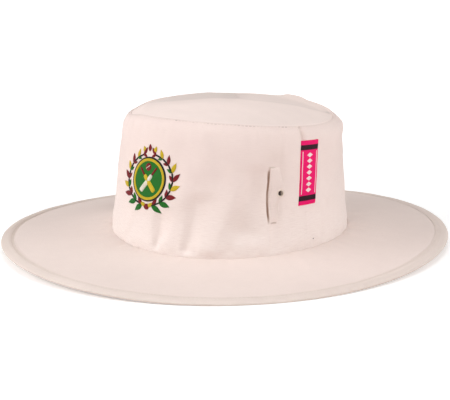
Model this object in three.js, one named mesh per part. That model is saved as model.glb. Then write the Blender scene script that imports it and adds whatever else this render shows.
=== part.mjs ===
// Cricket sun hat: soft oval crown in two halves, tip panel, wide drooping brim with a folded hem,
// a welt pocket with an eyelet, a side label and a front badge.
// Millimetres, +Z up, origin on the surface under the middle of the brim.
// The front of the hat faces -Y and the wearer's left side faces +X. Turns are degrees from +X.
import * as THREE from 'three';

// Brim outline and rest
const BRIM_HALF_WIDTH = 177.6;
const BRIM_HALF_LENGTH = 190.0;
const REST_LIFT = 2.5;
const EDGE_WAVE = [{ times: 2, cos: -1.17, sin: 3.2 }];

// Base seam, where the crown meets the brim
const BASE_RADIUS = 97.2;
const BASE_SETBACK = 4.2;
const BASE_HEIGHT = 10.0;
const BASE_WAVE = [{ times: 1, cos: -0.96, sin: 0.12 }, { times: 2, cos: 1.06, sin: 1.32 }];

// Top seam, where the side wall meets the tip
const TOP_SETBACK = 7.1;
const TOP_HEIGHT = 106.2;
const TOP_WAVE = [{ times: 1, cos: -0.9, sin: -3.9 }, { times: 2, cos: -1.4, sin: -1.85 }];

// The crown is longer than it is wide by this much each side of its mean radius
const OVAL = 2.1;

// Cloth and gaps
const WALL_THICK = 2.0;
const TIP_THICK = 1.9;
const BRIM_THICK = 1.8;
const SEAM_GAP = 0.3;
const PATCH_GAP = 0.45;

// Side seams of the crown
const LEFT_SEAM = -6.5;
const RIGHT_SEAM = 173.5;

// Side wall profile from the base seam over the shoulder to the top seam
const WALL_ROWS = [
  { rise: 0, radius: 97.2 },
  { rise: 7, radius: 96.8 },
  { rise: 15, radius: 95.6 },
  { rise: 24, radius: 94.8 },
  { rise: 35, radius: 94.3 },
  { rise: 46, radius: 93.4 },
  { rise: 58, radius: 92.3 },
  { rise: 71, radius: 91.1 },
  { rise: 83, radius: 90.1 },
  { rise: 89.6, radius: 88.7 },
  { rise: 93.8, radius: 86.4 },
  { rise: 96.2, radius: 84.0 },
  { rise: 96.2, radius: 81.8 },
];
const WALL_RISE = 96.2;

// Dents and ridges of the side wall, each a line between two points: + is a dent, - is a ridge
const WALL_FOLDS = [
  { turnLow: -84.5, low: 3, turnHigh: -82, high: 17, width: 3.2, depth: 2.2 },
  { turnLow: -67, low: 5, turnHigh: -57, high: 43, width: 4.5, depth: 1.5 },
  { turnLow: -61.8, low: 14, turnHigh: -52.5, high: 40, width: 4.0, depth: -1.1 },
  { turnLow: -40.5, low: 8, turnHigh: -40.8, high: 42, width: 8.5, depth: 2.3 },
  { turnLow: -23.8, low: 4, turnHigh: -23.2, high: 24, width: 3.4, depth: 1.4 },
  { turnLow: -50.5, low: 56, turnHigh: -51, high: 88, width: 6.0, depth: 0.9 },
  { turnLow: -29, low: 30, turnHigh: -27, high: 86, width: 9.0, depth: 0.8 },
  { turnLow: -120, low: 6, turnHigh: -117, high: 60, width: 6.0, depth: 1.0 },
  { turnLow: 34, low: 6, turnHigh: 30, high: 56, width: 10.0, depth: 1.4 },
  { turnLow: 82, low: 4, turnHigh: 76, high: 66, width: 9.0, depth: 1.8 },
  { turnLow: 128, low: 8, turnHigh: 136, high: 50, width: 10.0, depth: 1.6 },
  { turnLow: 166, low: 4, turnHigh: 158, high: 44, width: 7.0, depth: 1.3 },
  { turnLow: 206, low: 6, turnHigh: 212, high: 58, width: 10.0, depth: 1.5 },
];
const FOLD_FADE = 9;
const FOLD_START = 5;

// Tip panel: a dome with a crescent trough inside its far rim
const DOME_RISE = 6.4;
const TROUGH = { turn: 112, spread: 64, at: 0.8, width: 0.15, depth: 7.2, fade: 0.12 };
const TIP_SINK = 0.5;

// Hem section from its inner line outwards, heights above the lowest line of the edge
const HEM_WIDTH = 10.5;
const HEM_SECTION = [
  { out: 0, height: 4.1 },
  { out: 0.5, height: 4.4 },
  { out: 3.4, height: 4.05 },
  { out: 6.6, height: 3.4 },
  { out: 9.0, height: 2.7 },
  { out: 10.1, height: 2.0 },
  { out: 10.5, height: 1.2 },
  { out: 10.2, height: 0.4 },
  { out: 9.4, height: 0 },
  { out: 5.6, height: 0 },
  { out: 2.4, height: 0.7 },
  { out: 0, height: 1.6 },
];
const BRIM_AT_HEM = 3.7;
const BRIM_SAG = 1.2;

// Pocket strip: its slit side is straight, its other side swells round the eyelet
const WELT_ROWS = [
  { rise: 25.2, from: -27.0, to: -22.0 },
  { rise: 31, from: -27.4, to: -21.6 },
  { rise: 37, from: -27.7, to: -20.8 },
  { rise: 42, from: -27.8, to: -19.4 },
  { rise: 47, from: -27.8, to: -18.5 },
  { rise: 52, from: -27.7, to: -18.5 },
  { rise: 58, from: -27.4, to: -19.0 },
  { rise: 63, from: -27.1, to: -19.3 },
  { rise: 67, from: -26.9, to: -19.6 },
];
const WELT_THICK = 1.3;
const WELT_EDGE_DROP = 0.45;
const WELT_COLUMNS = 5;

// Eyelet
const EYELET = { turn: -20.8, rise: 46.9, steps: 28 };
const EYELET_SECTION = [
  { radius: 1.75, height: 0 },
  { radius: 3.0, height: 0 },
  { radius: 3.0, height: 0.55 },
  { radius: 2.7, height: 1.1 },
  { radius: 2.0, height: 1.1 },
  { radius: 1.75, height: 0.65 },
  { radius: 1.75, height: 0 },
];

// Side label, a leaning rectangle
const LABEL = {
  turn: -3.8, rise: 60.6, width: 19.0, height: 50.0, lean: 3.0, thick: 0.9, columns: 5, rows: 9,
};

// Front badge, an oval with a scalloped edge
const BADGE = {
  turn: -89.5, rise: 51.3, halfWidth: 30, halfHeight: 26, thick: 1.0,
  scallop: 1.0, lobes: 16, stepsPerLobe: 3,
};
const BADGE_RINGS = [0.25, 0.5, 0.75, 0.95, 1];

// Divisions
const ROUND = 72;
const FRONT_STEPS = 50;
const BACK_STEPS = 34;
const BRIM_RINGS = 4;
const TIP_RINGS = [0.2, 0.42, 0.58, 0.7, 0.8, 0.9, 1];

// Colours and finishes
const COLOUR = {
  crown: 0xf3e6da, tip: 0xefe1d5, brim: 0xf1e3d8, hem: 0xe9dccf, welt: 0xf0e2d6, enamel: 0xe8dccb,
  label: 0xd8467c, badge: 0x2f6b3c,
};
const CLOTH_ROUGHNESS = 0.92;
const THREAD_ROUGHNESS = 0.7;
const ENAMEL_ROUGHNESS = 0.4;

const DEG = Math.PI / 180;

// Sum of a list of waves at a turn in degrees
function wave(list, turn) {
  return list.reduce((sum, w) => sum + w.cos * Math.cos(w.times * turn * DEG)
    + w.sin * Math.sin(w.times * turn * DEG), 0);
}

function baseHeight(turn) {
  return REST_LIFT + BASE_HEIGHT + wave(BASE_WAVE, turn);
}

function edgeHeight(turn) {
  return REST_LIFT + wave(EDGE_WAVE, turn);
}

function seamHeight(turn) {
  return REST_LIFT + TOP_HEIGHT + wave(TOP_WAVE, turn);
}

// Smooth 0 to 1 step
function ease(x) {
  const t = Math.min(Math.max(x, 0), 1);
  return t * t * (3 - 2 * t);
}

// Shortest difference between two turns
function turnGap(a, b) {
  return ((a - b + 540) % 360 + 360) % 360 - 180;
}

// How far the wall is dented inwards at a turn and a rise
function foldDepth(turn, rise) {
  let depth = 0;
  for (const fold of WALL_FOLDS) {
    const along = (rise - fold.low) / (fold.high - fold.low);
    const centre = fold.turnLow + (fold.turnHigh - fold.turnLow) * Math.min(Math.max(along, 0), 1);
    const across = turnGap(turn, centre) / fold.width;
    const fadeIn = ease((rise - fold.low + FOLD_FADE) / FOLD_FADE);
    const fadeOut = ease((fold.high + FOLD_FADE - rise) / FOLD_FADE);
    depth += fold.depth * Math.exp(-across * across) * fadeIn * fadeOut;
  }
  return depth * ease(rise / FOLD_START);
}

// Mean radius of the wall at a rise below the shoulder
function wallRadius(rise) {
  const k = Math.max(1, WALL_ROWS.findIndex((row) => row.rise >= rise));
  const low = WALL_ROWS[k - 1];
  const high = WALL_ROWS[k];
  return low.radius + (high.radius - low.radius) * (rise - low.rise) / (high.rise - low.rise);
}

// Point of the outer wall surface
function wallSurface(turn, rise, radius) {
  const share = rise / WALL_RISE;
  const r = radius - foldDepth(turn, rise);
  const back = BASE_SETBACK + (TOP_SETBACK - BASE_SETBACK) * share;
  const z = baseHeight(turn) + (seamHeight(turn) - baseHeight(turn)) * share;
  return new THREE.Vector3((r - OVAL) * Math.cos(turn * DEG), back + (r + OVAL) * Math.sin(turn * DEG), z);
}

// Outward normal of the wall at a row of the profile
function wallNormal(turn, before, after) {
  const up = wallSurface(turn, after.rise, after.radius).sub(wallSurface(turn, before.rise, before.radius));
  const round = wallSurface(turn + 1, before.rise, before.radius);
  round.sub(wallSurface(turn - 1, before.rise, before.radius));
  return round.cross(up).normalize();
}

// Point of the wall at a profile row, moved inwards
function wallRowPoint(turn, k, inwards) {
  const last = WALL_ROWS.length - 1;
  const row = WALL_ROWS[k];
  const normal = wallNormal(turn, WALL_ROWS[Math.max(k - 1, 0)], WALL_ROWS[Math.min(k + 1, last)]);
  return wallSurface(turn, row.rise, row.radius).addScaledVector(normal, -inwards);
}

// Point at a height above the wall surface, for what is sewn to it
function onWall(turn, rise, lift) {
  const before = { rise: rise - 1, radius: wallRadius(rise - 1) };
  const after = { rise: rise + 1, radius: wallRadius(rise + 1) };
  const normal = wallNormal(turn, before, after);
  return wallSurface(turn, rise, wallRadius(rise)).addScaledVector(normal, lift);
}

// Closed solid from faces given as lists of points, turned so that it encloses a positive volume
function solid(name, faces, colour, roughness) {
  const corners = [];
  for (const face of faces) {
    for (let k = 1; k + 1 < face.length; k += 1) corners.push(face[0], face[k], face[k + 1]);
  }
  let volume = 0;
  for (let k = 0; k < corners.length; k += 3) {
    volume += corners[k].dot(new THREE.Vector3().crossVectors(corners[k + 1], corners[k + 2]));
  }
  if (volume < 0) corners.reverse();
  const geometry = new THREE.BufferGeometry().setFromPoints(corners);
  geometry.computeVertexNormals();
  const material = new THREE.MeshStandardMaterial({ color: colour, roughness });
  material.name = name;
  const mesh = new THREE.Mesh(geometry, material);
  mesh.name = name;
  return mesh;
}

// Two triangles for each cell of a grid of points; wrap joins the last column to the first
function gridFaces(grid, flip, wrap) {
  const faces = [];
  for (let i = 0; i + 1 < grid.length; i += 1) {
    const columns = grid[i].length;
    for (let j = 0; j < (wrap ? columns : columns - 1); j += 1) {
      const n = (j + 1) % columns;
      const cell = [grid[i][j], grid[i][n], grid[i + 1][n], grid[i + 1][j]];
      faces.push(flip ? cell.reverse() : cell);
    }
  }
  return faces;
}

// Closed solid between an outer and an inner grid of the same size
function shell(name, outer, inner, wrap, colour, roughness) {
  const faces = [...gridFaces(outer, false, wrap), ...gridFaces(inner, true, wrap)];
  const last = outer.length - 1;
  faces.push(...gridFaces([inner[0], outer[0]], false, wrap));
  faces.push(...gridFaces([outer[last], inner[last]], false, wrap));
  if (!wrap) {
    const end = outer[0].length - 1;
    const column = (grid, j) => grid.map((row) => row[j]);
    faces.push(...gridFaces([column(inner, 0), column(outer, 0)], true, false));
    faces.push(...gridFaces([column(outer, end), column(inner, end)], true, false));
  }
  return solid(name, faces, colour, roughness);
}

// Half of the side wall between two seams
function crownHalf(name, start, end, steps) {
  const trim = SEAM_GAP / 2 / BASE_RADIUS / DEG;
  const span = end - start - 2 * trim;
  const turns = Array.from({ length: steps + 1 }, (_, j) => start + trim + span * j / steps);
  const outer = WALL_ROWS.map((row, k) => turns.map((turn) => wallRowPoint(turn, k, 0)));
  const inner = WALL_ROWS.map((row, k) => turns.map((turn) => wallRowPoint(turn, k, WALL_THICK)));
  return shell(name, outer, inner, false, COLOUR.crown, CLOTH_ROUGHNESS);
}

// Height of the tip at a share of the way from its middle to the top seam
function tipHeight(turn, share) {
  const middle = REST_LIFT + TOP_HEIGHT;
  const tilt = wave(TOP_WAVE.slice(0, 1), turn) * share + wave(TOP_WAVE.slice(1), turn) * share * share;
  const dome = DOME_RISE * (1 - share * share);
  const along = turnGap(turn, TROUGH.turn) / TROUGH.spread;
  const across = (share - TROUGH.at) / TROUGH.width;
  const fade = ease((1 - share) / TROUGH.fade);
  const trough = TROUGH.depth * Math.exp(-(along ** 4) - across * across) * fade;
  return middle + tilt + dome - trough - TIP_SINK;
}

// Tip panel
function crownTop() {
  const seam = WALL_ROWS[WALL_ROWS.length - 1];
  const reach = seam.radius - SEAM_GAP;
  const turns = Array.from({ length: ROUND }, (_, j) => 360 * j / ROUND);
  const ring = (share, drop) => turns.map((turn) => new THREE.Vector3(
    (reach - OVAL) * share * Math.cos(turn * DEG),
    TOP_SETBACK + (reach + OVAL) * share * Math.sin(turn * DEG),
    tipHeight(turn, share) - drop,
  ));
  const top = TIP_RINGS.map((share) => ring(share, 0));
  const under = TIP_RINGS.map((share) => ring(share, TIP_THICK));
  const topPole = new THREE.Vector3(0, TOP_SETBACK, tipHeight(TROUGH.turn, 0));
  const underPole = topPole.clone().setZ(topPole.z - TIP_THICK);
  const faces = [...gridFaces(top, false, true), ...gridFaces(under, true, true)];
  const last = TIP_RINGS.length - 1;
  faces.push(...gridFaces([top[last], under[last]], false, true));
  for (let j = 0; j < ROUND; j += 1) {
    const n = (j + 1) % ROUND;
    faces.push([topPole, top[0][n], top[0][j]], [underPole, under[0][j], under[0][n]]);
  }
  return solid('crown_top', faces, COLOUR.tip, CLOTH_ROUGHNESS);
}

// Point of the brim's outline moved in from the edge
function brimEdge(turn, inwards) {
  const x = (BRIM_HALF_WIDTH - inwards) * Math.cos(turn * DEG);
  const y = (BRIM_HALF_LENGTH - inwards) * Math.sin(turn * DEG);
  return [x, y];
}

// Brim from the base seam to the hem
function brim() {
  const turns = Array.from({ length: ROUND }, (_, j) => 360 * j / ROUND);
  const inner = BASE_RADIUS + SEAM_GAP;
  const ring = (share, drop) => turns.map((turn) => {
    const [x, y] = brimEdge(turn, HEM_WIDTH + SEAM_GAP);
    const startX = (inner - OVAL) * Math.cos(turn * DEG);
    const startY = BASE_SETBACK + (inner + OVAL) * Math.sin(turn * DEG);
    const start = baseHeight(turn);
    const end = edgeHeight(turn) + BRIM_AT_HEM;
    const sag = BRIM_SAG * Math.sin(Math.PI * share);
    return new THREE.Vector3(startX + (x - startX) * share, startY + (y - startY) * share,
      start + (end - start) * share - sag - drop);
  });
  const shares = Array.from({ length: BRIM_RINGS + 1 }, (_, k) => k / BRIM_RINGS);
  const top = shares.map((share) => ring(share, 0));
  const under = shares.map((share) => ring(share, BRIM_THICK));
  return shell('brim', top, under, true, COLOUR.brim, CLOTH_ROUGHNESS);
}

// Folded edge of the brim, pressed flat where it touches the surface
function brimHem() {
  const turns = Array.from({ length: ROUND }, (_, j) => 360 * j / ROUND);
  const loop = [...HEM_SECTION, HEM_SECTION[0]].map((point) => turns.map((turn) => {
    const [x, y] = brimEdge(turn, HEM_WIDTH - point.out);
    return new THREE.Vector3(x, y, Math.max(edgeHeight(turn) + point.height, 0));
  }));
  return solid('brim_hem', gridFaces(loop, false, true), COLOUR.hem, CLOTH_ROUGHNESS);
}

// Raised strip beside the pocket slit
function pocketWelt() {
  const layer = (lift, drop) => WELT_ROWS.map((row) => Array.from({ length: WELT_COLUMNS + 1 }, (_, j) => {
    const side = j === 0 || j === WELT_COLUMNS;
    const turn = row.from + (row.to - row.from) * j / WELT_COLUMNS;
    return onWall(turn, row.rise, side ? lift - drop : lift);
  }));
  const top = layer(PATCH_GAP + WELT_THICK, WELT_EDGE_DROP);
  return shell('pocket_welt', top, layer(PATCH_GAP, 0), false, COLOUR.welt, CLOTH_ROUGHNESS);
}

// Flat ring with rounded lips, square to the wall
function eyelet() {
  const middle = onWall(EYELET.turn, EYELET.rise, PATCH_GAP + WELT_THICK + PATCH_GAP);
  const out = onWall(EYELET.turn, EYELET.rise, PATCH_GAP + WELT_THICK + 1).sub(middle).normalize();
  const section = EYELET_SECTION.map((point) => new THREE.Vector2(point.radius, point.height));
  const geometry = new THREE.LatheGeometry(section, EYELET.steps);
  const material = new THREE.MeshStandardMaterial({ color: COLOUR.enamel, roughness: ENAMEL_ROUGHNESS });
  material.name = 'eyelet';
  const mesh = new THREE.Mesh(geometry, material);
  mesh.name = 'eyelet';
  mesh.quaternion.setFromUnitVectors(new THREE.Vector3(0, 1, 0), out);
  mesh.position.copy(middle);
  return mesh;
}

// Woven label, a leaning rectangle bent to the wall
function sideLabel() {
  const lean = Math.tan(LABEL.lean * DEG);
  const perDegree = wallRadius(LABEL.rise) * DEG;
  const layer = (lift) => Array.from({ length: LABEL.rows + 1 }, (_, i) => {
    const up = (i / LABEL.rows - 0.5) * LABEL.height;
    return Array.from({ length: LABEL.columns + 1 }, (__, j) => {
      const across = (j / LABEL.columns - 0.5) * LABEL.width + up * lean;
      return onWall(LABEL.turn + across / perDegree, LABEL.rise + up, lift);
    });
  });
  const top = layer(PATCH_GAP + LABEL.thick);
  return shell('side_label', top, layer(PATCH_GAP), false, COLOUR.label, CLOTH_ROUGHNESS);
}

// Embroidered badge, an oval bent to the wall
function frontBadge() {
  const steps = BADGE.lobes * BADGE.stepsPerLobe;
  const perDegree = wallRadius(BADGE.rise) * DEG;
  const at = (share, j, lift) => {
    const angle = 2 * Math.PI * j / steps;
    const swell = 1 + BADGE.scallop / BADGE.halfWidth * Math.cos(BADGE.lobes * angle);
    const across = BADGE.halfWidth * swell * share * Math.cos(angle);
    const up = BADGE.halfHeight * swell * share * Math.sin(angle);
    return onWall(BADGE.turn + across / perDegree, BADGE.rise + up, lift);
  };
  const layer = (lift, edgeLift) => BADGE_RINGS.map((share) => Array.from({ length: steps }, (_, j) => (
    at(share, j, share === 1 ? edgeLift : lift))));
  const top = layer(PATCH_GAP + BADGE.thick, PATCH_GAP + BADGE.thick * 0.5);
  const under = layer(PATCH_GAP, PATCH_GAP);
  const topPole = at(0, 0, PATCH_GAP + BADGE.thick);
  const underPole = at(0, 0, PATCH_GAP);
  const last = BADGE_RINGS.length - 1;
  const faces = [...gridFaces(top, false, true), ...gridFaces(under, true, true)];
  faces.push(...gridFaces([top[last], under[last]], false, true));
  for (let j = 0; j < steps; j += 1) {
    const n = (j + 1) % steps;
    faces.push([topPole, top[0][n], top[0][j]], [underPole, under[0][j], under[0][n]]);
  }
  return solid('front_badge', faces, COLOUR.badge, THREAD_ROUGHNESS);
}

const hat = new THREE.Group();
hat.name = 'cricket_sun_hat';
hat.add(crownHalf('crown_front', RIGHT_SEAM - 360, LEFT_SEAM, FRONT_STEPS));
hat.add(crownHalf('crown_back', LEFT_SEAM, RIGHT_SEAM, BACK_STEPS));
hat.add(crownTop());
hat.add(brim());
hat.add(brimHem());
hat.add(pocketWelt());
hat.add(eyelet());
hat.add(sideLabel());
hat.add(frontBadge());

export default hat;
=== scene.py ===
import bpy
import bmesh
import numpy as np
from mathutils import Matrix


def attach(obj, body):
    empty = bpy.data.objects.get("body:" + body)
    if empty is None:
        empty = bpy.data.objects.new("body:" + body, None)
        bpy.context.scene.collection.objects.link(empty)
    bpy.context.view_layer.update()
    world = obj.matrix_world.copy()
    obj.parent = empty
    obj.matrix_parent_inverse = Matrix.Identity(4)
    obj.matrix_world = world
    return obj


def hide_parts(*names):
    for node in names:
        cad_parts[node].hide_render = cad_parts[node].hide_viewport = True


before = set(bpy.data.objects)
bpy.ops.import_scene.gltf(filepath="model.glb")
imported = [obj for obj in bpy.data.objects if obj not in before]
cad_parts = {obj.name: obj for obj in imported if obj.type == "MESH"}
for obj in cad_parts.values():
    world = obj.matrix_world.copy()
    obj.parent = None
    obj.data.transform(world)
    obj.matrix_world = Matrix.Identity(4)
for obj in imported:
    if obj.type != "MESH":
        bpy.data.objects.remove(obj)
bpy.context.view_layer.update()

# Side wall of the crown
# Two halves of cream cotton drill over a thin interlining, each cut as a curved band and joined to
# the other by a plain seam at either side. The top edge turns in over a soft shoulder.
MM = 0.001
REST_LIFT = 2.5
BASE_HEIGHT = 10.0
TOP_HEIGHT = 106.2
BASE_SETBACK = 4.2
TOP_SETBACK = 7.1
BASE_WAVE = ((1, -0.96, 0.12), (2, 1.06, 1.32))
TOP_WAVE = ((1, -0.9, -3.9), (2, -1.4, -1.85))
OVAL = 2.1
WALL_RISE = 96.2
WALL_THICK = 2.0
SIDE_SEAMS = (-6.5, 173.5)

# rise above the base seam, mean radius
WALL_ROWS = (
    (-0.9, 97.3), (0, 97.2), (7, 96.8), (15, 95.6), (24, 94.8), (35, 94.3), (46, 93.4), (58, 92.3),
    (71, 91.1), (83, 90.1), (89.6, 88.7), (93.8, 86.5), (96.1, 84.1), (96.6, 82.9), (96.3, 82.15),
    (95.0, 82.0),
)

# turn and rise of the lower end, the same of the upper end, width in degrees to either side, depth
# (a ridge where it is below 0), share of the width that is left at the lower end
WALL_FOLDS = (
    (-82.6, 3, -80.5, 23, 4.4, 6.2, 3.1, 0.3), (-66.0, 3, -61.5, 38, 4.2, 7.6, 2.9, 0.55),
    (-53.5, 7, -41.0, 54, 5.4, 4.2, -1.5, 1), (-45, 4, -40, 16, 3.0, 4.0, 0.7, 1),
    (-38.0, 19.5, -33.0, 60, 6.5, 8.0, 2.7, 1), (-24.6, 3, -24.0, 22, 1.4, 4.5, 1.5, 1),
    (-69, 42, -57, 90, 8.0, 9.0, -1.5, 1), (-19.8, 69, -18.4, 90, 4.5, 1.0, 1.1, 1),
    (-50.5, 56, -51, 88, 3.5, 7.0, 1.0, 1), (-29, 34, -27, 86, 9.0, 9.0, 0.8, 1),
    (-73, 58, -66, 88, 4.0, 8.0, 0.7, 1), (-120, 6, -117, 60, 6.0, 6.0, 1.0, 0.6),
    (-104, 3, -98, 22, 2.5, 5.0, 1.0, 0.6), (6, 4, 9, 30, 3.0, 6.0, 0.9, 0.6),
    (34, 6, 30, 56, 7.0, 11.0, 1.4, 0.5), (60, 3, 57, 26, 3.0, 5.0, 1.2, 0.5),
    (82, 4, 76, 66, 7.0, 10.0, 1.8, 0.4), (108, 3, 112, 34, 3.0, 7.0, 1.4, 0.5),
    (128, 8, 136, 50, 10.0, 8.0, 1.6, 0.5), (150, 50, 146, 86, 5.0, 8.0, 0.9, 1),
    (166, 4, 158, 44, 5.0, 8.0, 1.5, 0.5), (186, 3, 190, 24, 3.0, 5.0, 1.3, 0.5),
    (206, 6, 212, 58, 8.0, 10.0, 1.5, 0.5), (228, 4, 232, 36, 3.0, 6.0, 1.0, 0.6),
)
# rise over which a fold dies out past each end, and rise up to which the base seam holds the cloth
FOLD_FADE = 11.0
SEAM_HOLD = 5.0


def wave_sum(turn, terms):
    """Sum over the terms of cos part x cos(times x turn) and sin part x sin(times x turn)."""
    angle = np.radians(turn)
    return sum(c * np.cos(k * angle) + s * np.sin(k * angle) for k, c, s in terms)


def ease(x):
    """Smooth step: 0 below 0, 1 above 1, 3x^2 - 2x^3 between."""
    x = np.clip(x, 0.0, 1.0)
    return x * x * (3.0 - 2.0 * x)


def between(value, start, rises_over, end, falls_over):
    """Smooth step up after the start times a smooth step down before the end."""
    return ease((value - start) / rises_over) * ease((end - value) / falls_over)


def bell(x):
    """exp(-x^2): 1 at the middle, falling smoothly to both sides."""
    return np.exp(-np.square(x))


def turn_gap(a, b):
    """Shortest signed difference of two turns in degrees."""
    return np.mod(a - b + 180.0, 360.0) - 180.0


def soft_ripple(points, reach, seed, count=14):
    """Sum of sine waves in random directions, of wavelengths near reach, scaled to about -1 to 1."""
    draw = np.random.default_rng(seed)
    total = 0.0
    for _ in range(count):
        way = draw.normal(size=3)
        way *= 2.0 * np.pi / (reach * draw.uniform(0.7, 1.5)) / np.linalg.norm(way)
        total = total + np.sin(points @ way + draw.uniform(0, 2 * np.pi))
    return total / np.sqrt(count)


def ripples(points, terms):
    """Sum over the terms of depth times a soft ripple of that reach and seed."""
    return sum(depth * soft_ripple(points, reach, seed) for depth, reach, seed in terms)


def fold_depth(turn, rise):
    """Each fold is a lopsided bell across its line, narrowed towards the base and faded at the line's
    ends; the depths add up."""
    total = 0.0
    for low_turn, low, high_turn, high, before, after, depth, narrow in WALL_FOLDS:
        along = np.clip((rise - low) / (high - low), 0, 1)
        across = turn_gap(turn, low_turn + (high_turn - low_turn) * along)
        fade = between(rise, low - FOLD_FADE, FOLD_FADE, high + FOLD_FADE, FOLD_FADE)
        width = np.where(across < 0, before, after) * (narrow + (1 - narrow) * along)
        total = total + depth * bell(across / width) * fade
    return total * ease(rise / SEAM_HOLD)


def base_height(turn):
    """Height of the base seam: a level ring with two gentle waves."""
    return REST_LIFT + BASE_HEIGHT + wave_sum(turn, BASE_WAVE)


def seam_height(turn):
    """Height of the top seam: a tilted ring with a gentle wave."""
    return REST_LIFT + TOP_HEIGHT + wave_sum(turn, TOP_WAVE)


# turn and spread in degrees, height: where the rim stands up or sinks
RIM_LIFTS = ((222, 26, -2.9), (96, 8, 1.7), (119, 15, -1.1), (138, 9, -0.8), (47, 12, -1.0))
RIM_START, RIM_OVER = 78.0, 18.0
# turn, spread in degrees, rise, spread of rise, push outwards
SHOULDER_PUSHES = ((46, 24, 90, 8, 2.0), (224, 26, 82, 14, -1.0))
SHOULDER_END, SHOULDER_FADE = 95.5, 4.0


def rim_lift(turn):
    """Sum of flat-topped bells, exp(-x^4), round the rim: it sinks at the left and has a soft corner at
    the far right."""
    return sum(high * np.exp(-(turn_gap(turn, at) / spread) ** 4) for at, spread, high in RIM_LIFTS)


def shoulder_push(turn, rise):
    """Sum of bells round the shoulder, in turn and in rise."""
    pushes = sum(push * bell(turn_gap(turn, at) / spread) * bell((rise - level) / reach)
                 for at, spread, level, reach, push in SHOULDER_PUSHES)
    return pushes * ease((SHOULDER_END - rise) / SHOULDER_FADE)


# rises at which the puckers start and end, each followed by the rise that they fade over
TOP_PUCKERS = (80.0, 9.0, 96.6, 2.5)
BASE_PUCKERS = (-1.0, 2.5, 12.0, 9.0)
BASE_PUCKER_SHARE = 0.8
PUCKER_RING = 88.0
PUCKER_STRETCH = 0.15
# depth, reach, seed
PUCKER_RIPPLES = ((0.16, 4.6, 41), (0.14, 11, 42))


def puckers(turn, rise):
    """Short upright ripples that the stitches pull into the cloth below the top seam and above the
    base seam."""
    angle = np.radians(turn)
    ring = np.stack([PUCKER_RING * np.cos(angle), PUCKER_RING * np.sin(angle), PUCKER_STRETCH * rise], -1)
    near = between(rise, *TOP_PUCKERS) + BASE_PUCKER_SHARE * between(rise, *BASE_PUCKERS)
    return near * ripples(ring, PUCKER_RIPPLES)


# rises between which the cloth is loose, as for the puckers; depth, reach and seed of its ripples
LOOSE_CLOTH = (0.0, 10.0, 92.0, 12.0)
WALL_RIPPLES = ((0.35, 46, 3), (0.12, 17, 4))


def wall_xyz(turn, rise, radius):
    """Oval ring at each rise: radius less the folds, between the base seam's and the top seam's heights."""
    share = rise / WALL_RISE
    angle = np.radians(turn)
    middle = np.stack([radius * np.cos(angle), radius * np.sin(angle), rise + 0 * angle], -1)
    r = radius - fold_depth(turn, rise) + shoulder_push(turn, rise) + puckers(turn, rise)
    r = r + between(rise, *LOOSE_CLOTH) * ripples(middle, WALL_RIPPLES)
    back = BASE_SETBACK + (TOP_SETBACK - BASE_SETBACK) * share
    z = base_height(turn) * (1 - share) + seam_height(turn) * share
    z = z + rim_lift(turn) * ease((rise - RIM_START) / RIM_OVER)
    return np.stack([(r - OVAL) * np.cos(angle), back + (r + OVAL) * np.sin(angle), z], -1)


def through_rows(rows, per_gap):
    """Catmull-Rom curve through rows of two numbers, with per_gap steps between neighbours."""
    rows = np.array(rows, float)
    ends = np.concatenate([2 * rows[:1] - rows[1:2], rows, 2 * rows[-1:] - rows[-2:-1]])
    t = np.arange(0, len(rows) - 1 + 1e-9, 1.0 / per_gap)
    k = np.minimum(t.astype(int), len(rows) - 2)
    f = (t - k)[:, None]
    a, b, c, d = ends[k], ends[k + 1], ends[k + 2], ends[k + 3]
    curve = 2 * b + (c - a) * f + (2 * a - 5 * b + 4 * c - d) * f ** 2 + (3 * b - a - 3 * c + d) * f ** 3
    return 0.5 * curve


def grid_normals(points):
    """Cross product of the steps along the columns and along the rows of a grid, made unit."""
    out = np.cross(np.gradient(points, axis=1), np.gradient(points, axis=0))
    return out / np.maximum(np.linalg.norm(out, axis=-1, keepdims=True), 1e-12)


def grid_cells(rows, columns, wrap):
    """Corner numbers of every cell of a grid, row by row; wrap joins the last column to the first."""
    numbers = np.arange(rows * columns).reshape(rows, columns)
    nextward = np.roll(numbers, -1, 1) if wrap else numbers[:, 1:]
    here = numbers if wrap else numbers[:, :-1]
    return np.stack([here[:-1], nextward[:-1], nextward[1:], here[1:]], -1).reshape(-1, 4)


# width of a cut edge in cloth coordinates; length once round for a ring whose pattern doesn't wrap
CUT_EDGE = 0.8
ROUND = 1e-9


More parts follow.
